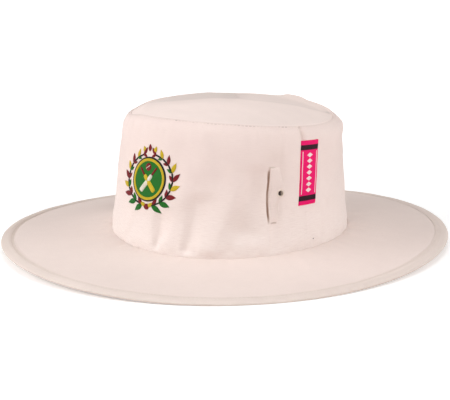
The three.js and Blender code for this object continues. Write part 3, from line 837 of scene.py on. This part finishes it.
# rise, turn of the edge beside the slit, turn of the far edge
WELT_ROWS = (
    (23.9, -25.6, -22.0), (29.8, -26.2, -21.5), (36, -26.5, -22.0), (41.4, -26.5, -21.0),
    (46.6, -26.4, -18.6), (51.4, -26.1, -18.7), (57, -25.8, -19.6), (62, -25.6, -20.2),
    (65.9, -25.5, -20.6),
)
WELT_THICK = 0.95
EYELET_TURN, EYELET_RISE = -20.8, 46.5
HOLE_RADIUS = 2.05
# mm of wall to a degree of turn for what is sewn on it, from the middle of the wall up
PATCH_MM_A_DEGREE = 1.62
# the wall's outer face, from the base up to the rim
WALL_RISES, WALL_RADII = through_rows(WALL_ROWS[:11], 8).T


def on_wall(turn, rise, lift):
    """Point of the wall at a turn and a rise, moved out along the wall's normal by lift."""
    def at(a, b):
        return wall_xyz(a, b, np.interp(b, WALL_RISES, WALL_RADII))
    out = np.cross(at(turn + 0.2, rise) - at(turn - 0.2, rise), at(turn, rise + 0.4) - at(turn, rise - 0.4))
    out /= np.linalg.norm(out, axis=-1, keepdims=True)
    return at(turn, rise) + out * np.asarray(lift)[..., None]


def pad(cloth, turn, rise, lift, uv, sunk=-0.35, finish=0):
    """A raised patch on the wall: its top at lift, its underside sunk just into the wall's cloth."""
    cloth.shell(on_wall(turn, rise, lift), on_wall(turn, rise, np.full(turn.shape, sunk)), uv, 0.0, finish)


def pillow(share, edge):
    """1 in the middle of a strip that runs from share 0 to 1, rounded off within edge of both ends."""
    near = np.minimum(share, 1 - share) / edge
    return np.sqrt(np.clip(1 - np.square(np.clip(1 - near, 0, 1)), 0, 1))


welt_rows = through_rows([row[:2] for row in WELT_ROWS], 14)
welt_right = through_rows([(row[0], row[2]) for row in WELT_ROWS], 14)[:, 1]
welt_i = np.linspace(0, 1, len(welt_rows))[:, None]
welt_j = np.linspace(0, 1, 60)[None]
welt_turn = welt_rows[:, 1:] + (welt_right[:, None] - welt_rows[:, 1:]) * welt_j
welt_rise = welt_rows[:, :1] + 0 * welt_j
welt_edge = np.minimum(welt_j / 0.07, (1 - welt_j) / 0.3) + 0 * welt_i
welt_end = np.minimum(welt_i / 0.12, (1 - welt_i) / 0.05) + 0 * welt_j
welt_lift = 0.05 + WELT_THICK * ease(welt_edge) ** 0.6 * ease(welt_end) ** 0.6
welt_lift -= 0.25 * bell((welt_j - 0.13) / 0.04) * ease(welt_end)
from_eyelet = np.hypot((welt_turn - EYELET_TURN) * PATCH_MM_A_DEGREE, welt_rise - EYELET_RISE)
welt_lift = np.where(from_eyelet < HOLE_RADIUS, 0.05, welt_lift)
welt_cloth = Cloth()
pad(welt_cloth, welt_turn, welt_rise, welt_lift, np.stack([welt_turn * MM_A_DEGREE, welt_rise], -1))
welt_marks = np.zeros(welt_cloth.count)
# soiled by fingers beside the eyelet, and painted shade along the far edge below it
welt_soil_and_shade = 0.02 + 0.13 * bell((welt_rise - 45) / 15)
welt_soil_and_shade = welt_soil_and_shade + 0.14 * bell((1 - welt_j) / 0.3) * bell((welt_rise - 35) / 7)
welt_marks[:welt_lift.size] = welt_soil_and_shade.ravel()
welt = welt_cloth.mesh("pocket_strip", welt_marks)
welt.data.materials.append(CROWN_COTTON)
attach(welt, "root")
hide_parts("pocket_welt")

GREY_THREAD = thread("grey_thread", paint(222, 204, 196))
BAR_HALF, BAR_STITCHES, BAR_LIFT = 2.3, 13, 0.12
BAR_STITCH_LENGTH, BAR_STITCH_THICK = 1.3, 0.42
bar_lift = np.full(BAR_STITCHES, BAR_LIFT)
for bar_name, bar_turn, bar_rise, bar_thread in (("lower_bar", -24.0, 23.7, GREY_THREAD),
                                                 ("upper_bar", -24.6, 65.9, CREAM_THREAD)):
    bar_turns = bar_turn + np.linspace(-BAR_HALF, BAR_HALF, BAR_STITCHES) / MM_A_DEGREE
    bar_at = on_wall(bar_turns, np.full(BAR_STITCHES, bar_rise), bar_lift)
    bar_up = on_wall(bar_turns, np.full(BAR_STITCHES, bar_rise + 1.0), bar_lift) - bar_at
    stitches(bar_name, bar_at, bar_up, bar_at * (1, 1, 0), BAR_STITCH_LENGTH, BAR_STITCH_THICK,
             bar_thread)

# Eyelet
# A small pressed metal eyelet enamelled cream, clenched through the strip. Behind its hole lies a
# disc painted dark as the shade inside the pocket, with painted light at its far side.
EYELET_LIFT = 0.85
# distance from the middle, height
EYELET_SECTION = (
    (2.0, -0.7), (2.03, 0.1), (2.15, 0.45), (2.45, 0.62), (2.8, 0.5), (3.0, 0.2), (2.98, -0.05), (2.7, -0.2),
    (2.2, -0.25), (2.15, -0.7),
)


def enamel(name, colour):
    """Baked enamel: even colour, slightly uneven gloss, a few fine pits."""
    make = Recipe(name)
    place = make.node("TexCoord").outputs["Object"]
    pits = make.noise(place, 1500.0, 2.0)
    dark = (colour[0] * 0.86, colour[1] * 0.85, colour[2] * 0.84, 1.0)
    make.to("Base Color", make.mix(make.level(pits, 0.3, 0.6), dark, colour))
    make.to("Roughness", make.level(pits, -0.6, 1.9))
    make.bump(pits, 0.15, 0.0001)
    make.shader.inputs["Coat Weight"].default_value = 0.3
    make.shader.inputs["Coat Roughness"].default_value = 0.2
    return make.material


def eyelet_frame(lift):
    """Middle of the eyelet, the wall's outward direction there, and two directions along the wall."""
    turn, rise = np.array(EYELET_TURN), np.array(EYELET_RISE)
    middle = on_wall(turn, rise, np.array(lift))
    out = on_wall(turn, rise, np.array(lift + 1)) - middle
    side = np.cross((0, 0, 1.0), out)
    side /= np.linalg.norm(side)
    return middle, out, side, np.cross(out, side)


AROUND = np.radians(np.arange(0, 360, 7.5))


def lathe(cloth, section, lift):
    """The section turned about the wall's outward direction."""
    middle, out, side, up = eyelet_frame(lift)
    angle = AROUND[None, :, None]
    radius, height = section[:, :1, None], section[:, 1:, None]
    points = middle + radius * (np.cos(angle) * side + np.sin(angle) * up) + height * out
    uv = np.stack([points[..., 1], points[..., 2]], -1)
    cloth.add(points, uv, ROUND)


eyelet_rows = through_rows((*EYELET_SECTION, EYELET_SECTION[0]), 5)
eyelet_metal = Cloth()
lathe(eyelet_metal, eyelet_rows[::-1], EYELET_LIFT)
eyelet = eyelet_metal.mesh("eyelet_ring")
eyelet.data.materials.append(enamel("cream_enamel", paint(226, 208, 194)))
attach(eyelet, "root")
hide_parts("eyelet")

# distance from the middle, height
HOLE_SECTION = (
    (0.0, -0.4), (1.97, -0.4), (1.97, 0.24), (1.7, 0.26), (1.4, 0.27), (1.1, 0.28), (0.8, 0.28),
    (0.4, 0.28), (0.0, 0.28),
)
# distance to the right of the hole's middle at which the painted light starts, width of its soft edge
LIT_SIDE_START, LIT_SIDE_SOFT = 0.2, 0.7
hole_rows = np.array(HOLE_SECTION)
hole_disc = Cloth()
lathe(hole_disc, hole_rows, 0.0)
hole_aside = hole_rows[:, :1] * np.cos(AROUND)
hole = hole_disc.mesh("eyelet_hole", ease((hole_aside - LIT_SIDE_START) / LIT_SIDE_SOFT).ravel())
# painted shade, and painted light where the disc has its mark
HOLE_PAINTED_SHADE = cotton("eyelet_hole_shade", paint(74, 62, 58), paint(52, 42, 40), paint(158, 143, 131))
hole.data.materials.append(HOLE_PAINTED_SHADE)
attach(hole, "root")

# Side label
# A small pink woven label with folded ends, sewn flat to the wall over the side seam. A column of
# woven lozenges runs up its middle between two lines, and a dark stripe crosses it near each end.
LABEL_TURN, LABEL_RISE = -3.9, 60.3
# mm across and up, degrees that it leans to its right, share by which its top is wider than its foot
LABEL_WIDTH, LABEL_HEIGHT, LABEL_LEAN = 19.0, 51.0, 6.5
LABEL_TAPER = 0.16
LABEL_THICK = 0.75
LABEL_MM_A_DEGREE = 1.61
LABEL_RIB_PITCH, LABEL_WARP_PITCH = 0.42, 0.36
# distances from the label's middle at which the stripe starts and ends
STRIPE_START, STRIPE_END = 17.8, 22.2
# half the step from lozenge to lozenge, share of the distance across, half size, end of the column
LOZENGE_STEP, LOZENGE_SLIM, LOZENGE_HALF, LOZENGE_END = 4.6, 0.62, 2.0, 16.4
# moves the pattern so that one lozenge lies on the label's middle
LOZENGE_SHIFT = 94.3
LINE_ASIDE, LINE_HALF, LINE_END = 7.6, 0.5, 16.9


def woven_label(name):
    """Satin ground, ribbed by its threads, with stripes by the height, border lines by the distance
    across, and lozenges by the sum of both distances from points one step apart."""
    make = Recipe(name)
    cloth = make.node("UVMap")
    cloth.uv_map = "cloth"
    split = make.node("SeparateXYZ", Vector=cloth.outputs[0])
    u, v = split.outputs[0], split.outputs[1]
    across = make.sum("ABSOLUTE", u)
    height = make.sum("ABSOLUTE", v)
    rib = make.sum("SINE", make.sum("MULTIPLY", v, 2 * np.pi / LABEL_RIB_PITCH))
    cross = make.sum("SINE", make.sum("MULTIPLY", u, 2 * np.pi / LABEL_WARP_PITCH))
    fuzz = make.noise(cloth.outputs[0], 1.7, 3.0)
    ground = make.mix(make.level(fuzz, 0.3, 0.7), paint(232, 8, 98), paint(247, 14, 112))
    ragged = make.sum("ADD", height, make.sum("MULTIPLY", cross, 0.12))
    in_stripe = make.level(ragged, STRIPE_START, STRIPE_START + 0.3)
    stripe = make.sum("MULTIPLY", in_stripe, make.level(ragged, STRIPE_END, STRIPE_END - 0.3))
    colour = make.mix(stripe, ground, paint(16, 15, 22))
    along = make.sum("PINGPONG", make.sum("ADD", v, LOZENGE_SHIFT), LOZENGE_STEP)
    along = make.sum("ABSOLUTE", make.sum("SUBTRACT", along, LOZENGE_STEP / 2))
    lozenge = make.sum("ADD", make.sum("MULTIPLY", across, LOZENGE_SLIM), along)
    in_lozenge = make.level(lozenge, LOZENGE_HALF, LOZENGE_HALF - 0.2)
    inside = make.sum("MULTIPLY", in_lozenge, make.level(height, LOZENGE_END, LOZENGE_END - 0.3))
    colour = make.mix(inside, colour, paint(248, 224, 222))
    from_line = make.sum("ABSOLUTE", make.sum("SUBTRACT", across, LINE_ASIDE))
    in_line = make.level(from_line, LINE_HALF, LINE_HALF - 0.2)
    line = make.sum("MULTIPLY", in_line, make.level(height, LINE_END, LINE_END - 0.3))
    colour = make.mix(line, colour, paint(244, 214, 216))
    shine = make.sum("MULTIPLY", make.sum("ADD", rib, 1.0), 0.1)
    deep = make.mix(shine, colour, paint(120, 10, 50))
    make.to("Base Color", deep)
    make.bump(make.sum("ADD", rib, make.sum("MULTIPLY", cross, 0.5)), 0.4, 0.0001)
    make.shader.inputs["Roughness"].default_value = 0.6
    make.shader.inputs["Specular IOR Level"].default_value = 0.15
    make.shader.inputs["Sheen Weight"].default_value = 0.02
    return make.material


LABEL_ROWS, LABEL_COLUMNS = 150, 70
label_up, label_across = np.meshgrid(np.linspace(-0.5, 0.5, LABEL_ROWS),
                                     np.linspace(-0.5, 0.5, LABEL_COLUMNS), indexing="ij")
label_u = label_across * LABEL_WIDTH
label_v = label_up * LABEL_HEIGHT
label_across_wall = label_u * (0.94 + LABEL_TAPER * label_up)
label_aside = label_across_wall + label_v * np.tan(np.radians(LABEL_LEAN))
label_turn = LABEL_TURN + label_aside / LABEL_MM_A_DEGREE
label_lift = 0.1 + LABEL_THICK * pillow(label_across + 0.5, 0.03) * pillow(label_up + 0.5, 0.014)
label_lift += 0.12 * soft_ripple(np.stack([label_u, label_v, 0 * label_u], -1), 14, 31)
label_cloth = Cloth()
pad(label_cloth, label_turn, LABEL_RISE + label_v, label_lift, np.stack([label_u, label_v], -1))
label = label_cloth.mesh("woven_label")
label.data.materials.append(woven_label("label_satin"))
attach(label, "root")
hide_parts("side_label")

# Front badge
# Embroidery worked straight on the wall in glossy thread: a wreath of two leafy sprays round a
# green roundel with a rope edge, holding two crossed bats and a ball.
BADGE_TURN, BADGE_RISE = -89.5, 51.3
# stretch across and up, mm that it rises to a mm across, height of its underside
BADGE_STRETCH = (1.18, 1.07)
BADGE_LEAN = 0.1
BADGE_SUNK = -0.3
BADGE_COLOURS = (
    ("green_thread", paint(16, 116, 24)), ("maroon_thread", paint(132, 14, 26)),
    ("gold_thread", paint(220, 190, 36)), ("cream_thread_badge", paint(240, 234, 218)),
    ("dark_thread", paint(16, 20, 18)),
)
GREEN, MAROON, GOLD, CREAM, DARK = range(5)
THREAD_PITCH = 0.45


def satin_thread(name, colour):
    """Sine rows of thread across the first cloth coordinate, darker between them, with a soft gloss."""
    make = Recipe(name)
    cloth = make.node("UVMap")
    cloth.uv_map = "cloth"
    split = make.node("SeparateXYZ", Vector=cloth.outputs[0])
    rows = make.sum("SINE", make.sum("MULTIPLY", split.outputs[0], 2 * np.pi / THREAD_PITCH))
    fuzz = make.noise(cloth.outputs[0], 2.2, 3.0)
    height = make.sum("ADD", rows, make.sum("MULTIPLY", fuzz, 0.8))
    dark = (colour[0] * 0.6, colour[1] * 0.58, colour[2] * 0.56, 1.0)
    make.to("Base Color", make.mix(make.level(height, -0.6, 0.9), dark, colour))
    make.bump(height, 0.5, 0.00018)
    make.shader.inputs["Roughness"].default_value = 0.5
    make.shader.inputs["Sheen Weight"].default_value = 0.03
    make.shader.inputs["Specular IOR Level"].default_value = 0.25
    return make.material


def badge_pad(cloth, x, y, lift, uv, finish):
    """A raised patch of embroidery given in mm across and up from the badge's middle."""
    across, up = BADGE_STRETCH
    turn = BADGE_TURN + across * x / PATCH_MM_A_DEGREE
    pad(cloth, turn, BADGE_RISE + up * y + BADGE_LEAN * x, lift, uv, BADGE_SUNK, finish)


def leaf(cloth, root, heading, length, width, finish, bend=0.0):
    """Pointed oval along its heading, bowed by bend, crowned across; its threads slope from the vein."""
    s, t = np.meshgrid(np.linspace(0.0, 1.0, 17), np.linspace(-1.0, 1.0, 11), indexing="ij")
    half = width / 2 * np.sin(np.pi * np.clip(s, 0.015, 0.985) ** 0.85)
    ahead = length * s
    side = half * t + bend * length * s * (1 - s)
    c, d = np.cos(np.radians(heading)), np.sin(np.radians(heading))
    x = root[0] + ahead * c - side * d
    y = root[1] + ahead * d + side * c
    lift = 0.3 + 0.6 * np.sqrt(np.clip(1 - t ** 2, 0, 1)) * np.sin(np.pi * np.clip(s, 0.04, 0.96)) ** 0.5
    lift -= 0.18 * bell(t / 0.14) * ease((1 - s) / 0.3)
    uv = np.stack([ahead - 0.8 * np.abs(half * t), half * t], -1)
    badge_pad(cloth, x, y, lift, uv, finish)


def roundel(cloth, middle, inner, outer, height, finish, rope=0):
    """Disc or ring between two radii, crowned across; a rope's threads slant round it."""
    share, angle = np.meshgrid(np.linspace(0, 1, 15), np.radians(np.arange(0, 360.1, 4)), indexing="ij")
    radius = inner + (outer - inner) * share
    x = middle[0] + radius * np.cos(angle)
    y = middle[1] + radius * np.sin(angle)
    crown = pillow(share, 0.5) if inner else pillow(0.5 + share / 2, 0.25)
    swell = 0.1 * np.sin(angle * rope) if rope else 0.0
    lift = 0.25 + (height + swell) * crown
    uv = np.stack([angle * outer + radius, radius], -1) if inner else np.stack([y, x], -1)
    badge_pad(cloth, x, y, lift, uv, finish)


def bar(cloth, start, end, width, height, finish, taper=1.0):
    """Straight raised bar between two points, with rounded sides and ends; threads lie across it."""
    start, end = np.array(start, float), np.array(end, float)
    length = np.hypot(*(end - start))
    ahead = (end - start) / length
    s, t = np.meshgrid(np.linspace(0, 1, 21), np.linspace(-1, 1, 9), indexing="ij")
    half = width / 2 * (taper + (1 - taper) * s) * (0.35 + 0.65 * pillow(s, min(0.49, width / 2 / length)))
    x = start[0] + ahead[0] * length * s - ahead[1] * half * t
    y = start[1] + ahead[1] * length * s + ahead[0] * half * t
    lift = 0.3 + height * np.sqrt(np.clip(1 - t ** 2, 0, 1)) ** 0.7 * pillow(s, 0.08)
    badge_pad(cloth, x, y, lift, np.stack([length * s, half * t], -1), finish)


# pairs of leaves on a spray, degrees of the first round the badge's middle and step to the next, half
# axes of the spray's oval
SPRAY_LEAVES = 9
SPRAY_START, SPRAY_STEP = -78.0, 19.0
SPRAY_ACROSS, SPRAY_UP = 21.0, 18.0
# degrees that a pair's leaves turn away from the spray, share that each pair is smaller, bow
LEAF_OUTWARD, LEAF_INWARD = 42, 38
LEAF_SHRINK = 0.045
LEAF_BOW = 0.12


def spray_point(hand, number):
    """Point of the spray's oval at a leaf's number, on the right for hand 1 and the left for hand -1."""
    angle = np.radians(SPRAY_START + SPRAY_STEP * number)
    return hand * SPRAY_ACROSS * np.cos(angle), SPRAY_UP * np.sin(angle)


badge = Cloth()
for hand in (1, -1):
    for k in range(SPRAY_LEAVES):
        angle = np.radians(SPRAY_START + SPRAY_STEP * k)
        root = spray_point(hand, k)
        way = np.degrees(np.arctan2(SPRAY_UP * np.cos(angle), -SPRAY_ACROSS * np.sin(angle)))
        outward = way - LEAF_OUTWARD
        inward = way + LEAF_INWARD
        small = 1.0 - LEAF_SHRINK * k
        colour_out = GREEN if k < 2 else MAROON if k % 2 == 0 else GOLD
        if hand < 0:
            outward, inward = 180 - outward, 180 - inward
        leaf(badge, root, outward, 9.4 * small, 4.0 * small, colour_out, LEAF_BOW * hand)
        leaf(badge, root, inward, 6.4 * small, 2.9 * small, GREEN if k % 2 else MAROON, -LEAF_BOW * hand)
        if k < SPRAY_LEAVES - 1:
            bar(badge, root, spray_point(hand, k + 1), 1.1, 0.5, DARK)
ROUNDEL_MIDDLE = (0, 0.4)
roundel(badge, ROUNDEL_MIDDLE, 0.0, 13.6, 0.45, GREEN)
roundel(badge, ROUNDEL_MIDDLE, 12.4, 14.6, 0.75, GOLD, rope=40)
roundel(badge, ROUNDEL_MIDDLE, 14.3, 15.5, 0.55, DARK)
for hand in (1, -1):
    bar(badge, (hand * 7.6, 8.4), (hand * 3.4, 3.2), 1.7, 1.0, MAROON)
    bar(badge, (hand * 3.6, 3.6), (-hand * 6.4, -8.2), 4.2, 1.05, CREAM if hand > 0 else GOLD, taper=0.8)
# the ball with its seam
roundel(badge, (0, 8.9), 0.0, 2.9, 1.1, MAROON)
bar(badge, (-2.0, 7.7), (2.0, 10.1), 0.75, 1.3, CREAM)
# the berry and two leaves where the sprays meet, and the three buds at the top
SPRAY_FOOT = (0, -18.6)
for hand in (1, -1):
    leaf(badge, SPRAY_FOOT, 90 + hand * 64, 7.0, 2.8, GOLD, 0.1 * hand)
roundel(badge, SPRAY_FOOT, 0.0, 2.1, 1.0, MAROON)
for k, x in enumerate((-4.6, 0.0, 4.6)):
    leaf(badge, (x * 0.9, 18.4 + (1.2 if k == 1 else 0.0)), 90 - x * 5, 5.0, 3.0, GOLD if k != 1 else MAROON)
embroidery = badge.mesh("embroidered_badge")
for thread_name, thread_colour in BADGE_COLOURS:
    embroidery.data.materials.append(satin_thread(thread_name, thread_colour))
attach(embroidery, "root")
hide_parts("front_badge")

# Studio
# A plain pale floor that glows a little away from the hat, so that it melts into an even white
# surround, and four soft boxes.
FLOOR_HALF = 9.0
FLOOR_DROP = -0.0003
# distances in metres from the hat's middle between which the floor's glow rises, and the glow
GLOW_START, GLOW_END = 0.28, 1.1
GLOW_NEAR, GLOW_FAR = 0.2, 0.58
floor_mesh = bpy.data.meshes.new("studio_floor")
floor_corners = [(FLOOR_HALF * x, FLOOR_HALF * y, FLOOR_DROP)
                 for x, y in ((-1, -1), (1, -1), (1, 1), (-1, 1))]
floor_mesh.from_pydata(floor_corners, [], [(0, 1, 2, 3)])
floor = bpy.data.objects.new("studio_floor", floor_mesh)
bpy.context.scene.collection.objects.link(floor)
floor_make = Recipe("pale_floor")
floor_place = floor_make.node("TexCoord").outputs["Object"]
floor_reach = floor_make.node("VectorMath", _0=floor_place)
floor_reach.operation = "LENGTH"
floor_glow = floor_make.node("MapRange", Value=floor_reach.outputs["Value"], From_Min=GLOW_START,
                             From_Max=GLOW_END, To_Min=GLOW_NEAR, To_Max=GLOW_FAR)
floor_make.shader.inputs["Base Color"].default_value = (0.96, 0.96, 0.96, 1.0)
floor_make.shader.inputs["Roughness"].default_value = 0.9
floor_make.shader.inputs["Specular IOR Level"].default_value = 0.1
floor_make.shader.inputs["Emission Color"].default_value = (1.0, 1.0, 1.0, 1.0)
floor_make.to("Emission Strength", floor_glow.outputs[0])
floor_mesh.materials.append(floor_make.material)

# strength of the surround as a light, and as the camera sees it
SURROUND_LIGHT = 0.3
SURROUND_SEEN = 1.0
world = bpy.data.worlds.new("studio_surround")
world.use_nodes = True
surround = world.node_tree.nodes["Background"]
ray = world.node_tree.nodes.new("ShaderNodeLightPath")
seen = world.node_tree.nodes.new("ShaderNodeMapRange")
seen.inputs["To Min"].default_value = SURROUND_LIGHT
seen.inputs["To Max"].default_value = SURROUND_SEEN
world.node_tree.links.new(ray.outputs["Is Camera Ray"], seen.inputs["Value"])
world.node_tree.links.new(seen.outputs[0], surround.inputs[1])
surround.inputs[0].default_value = (1.0, 1.0, 1.0, 1.0)
bpy.context.scene.world = world

# name, degrees to the right of the camera, degrees up, power in watts
SOFTBOXES = (
    ("left_box", -75, 28, 23.6), ("front_left_box", -35, 38, 6.4), ("right_box", 65, 28, 19.2),
    ("top_box", 0, 86, 14.4),
)
BOX_DISTANCE = 2.2
BOX_SIZE = 1.3
CAMERA_TURN, CAMERA_RISE = np.radians(44.0), np.radians(15.0)


def softbox(name, right_of_camera, up, power):
    """A square area light on a sphere about the hat, at two angles, facing the hat."""
    yaw = CAMERA_TURN + np.radians(right_of_camera)
    rise = np.radians(up)
    lamp = bpy.data.lights.new(name, "AREA")
    lamp.size = BOX_SIZE
    lamp.energy = power
    holder = bpy.data.objects.new(name, lamp)
    way = np.array([np.sin(yaw) * np.cos(rise), -np.cos(yaw) * np.cos(rise), np.sin(rise)])
    holder.location = BOX_DISTANCE * way
    holder.rotation_euler = (np.pi / 2 - rise, 0, yaw)
    bpy.context.scene.collection.objects.link(holder)


for box_name, box_right, box_up, box_power in SOFTBOXES:
    softbox(box_name, box_right, box_up, box_power)

# Camera
# Fitted to the photograph: 1.4 m away, 15 degrees up, turned 44 degrees towards the wearer's left.
back = np.array([np.sin(CAMERA_TURN) * np.cos(CAMERA_RISE), -np.cos(CAMERA_TURN) * np.cos(CAMERA_RISE),
                 np.sin(CAMERA_RISE)])
rightward = np.array([np.cos(CAMERA_TURN), np.sin(CAMERA_TURN), 0])
upward = np.cross(back, rightward)
CAMERA_AWAY = 1.4
FOCAL_PX, PICTURE_WIDTH_PX, SENSOR_WIDTH = 1688.0, 450.0, 36.0
# height in metres of the point that the camera turns about, and how far above it and to its left the
# middle of the picture lies, in pixels
WATCHED_HEIGHT = 0.0038
ABOVE_PX, LEFT_PX = 35.2, 1.5
pixel = CAMERA_AWAY / FOCAL_PX
watched = np.array([0, 0, WATCHED_HEIGHT])
stand = watched + back * CAMERA_AWAY
aim = watched + upward * ABOVE_PX * pixel - rightward * LEFT_PX * pixel
lens = bpy.data.cameras.new("photo_camera")
lens.lens = SENSOR_WIDTH * FOCAL_PX / PICTURE_WIDTH_PX
lens.clip_start = 0.05
camera = bpy.data.objects.new("photo_camera", lens)
look = aim - stand
camera.location = stand
camera.rotation_euler = (np.pi / 2 - np.arctan2(-look[2], np.hypot(look[0], look[1])), 0,
                         np.arctan2(-look[0], look[1]))
bpy.context.scene.collection.objects.link(camera)
bpy.context.scene.camera = camera
bpy.context.scene.view_settings.view_transform = "Standard"

bpy.context.view_layer.update()
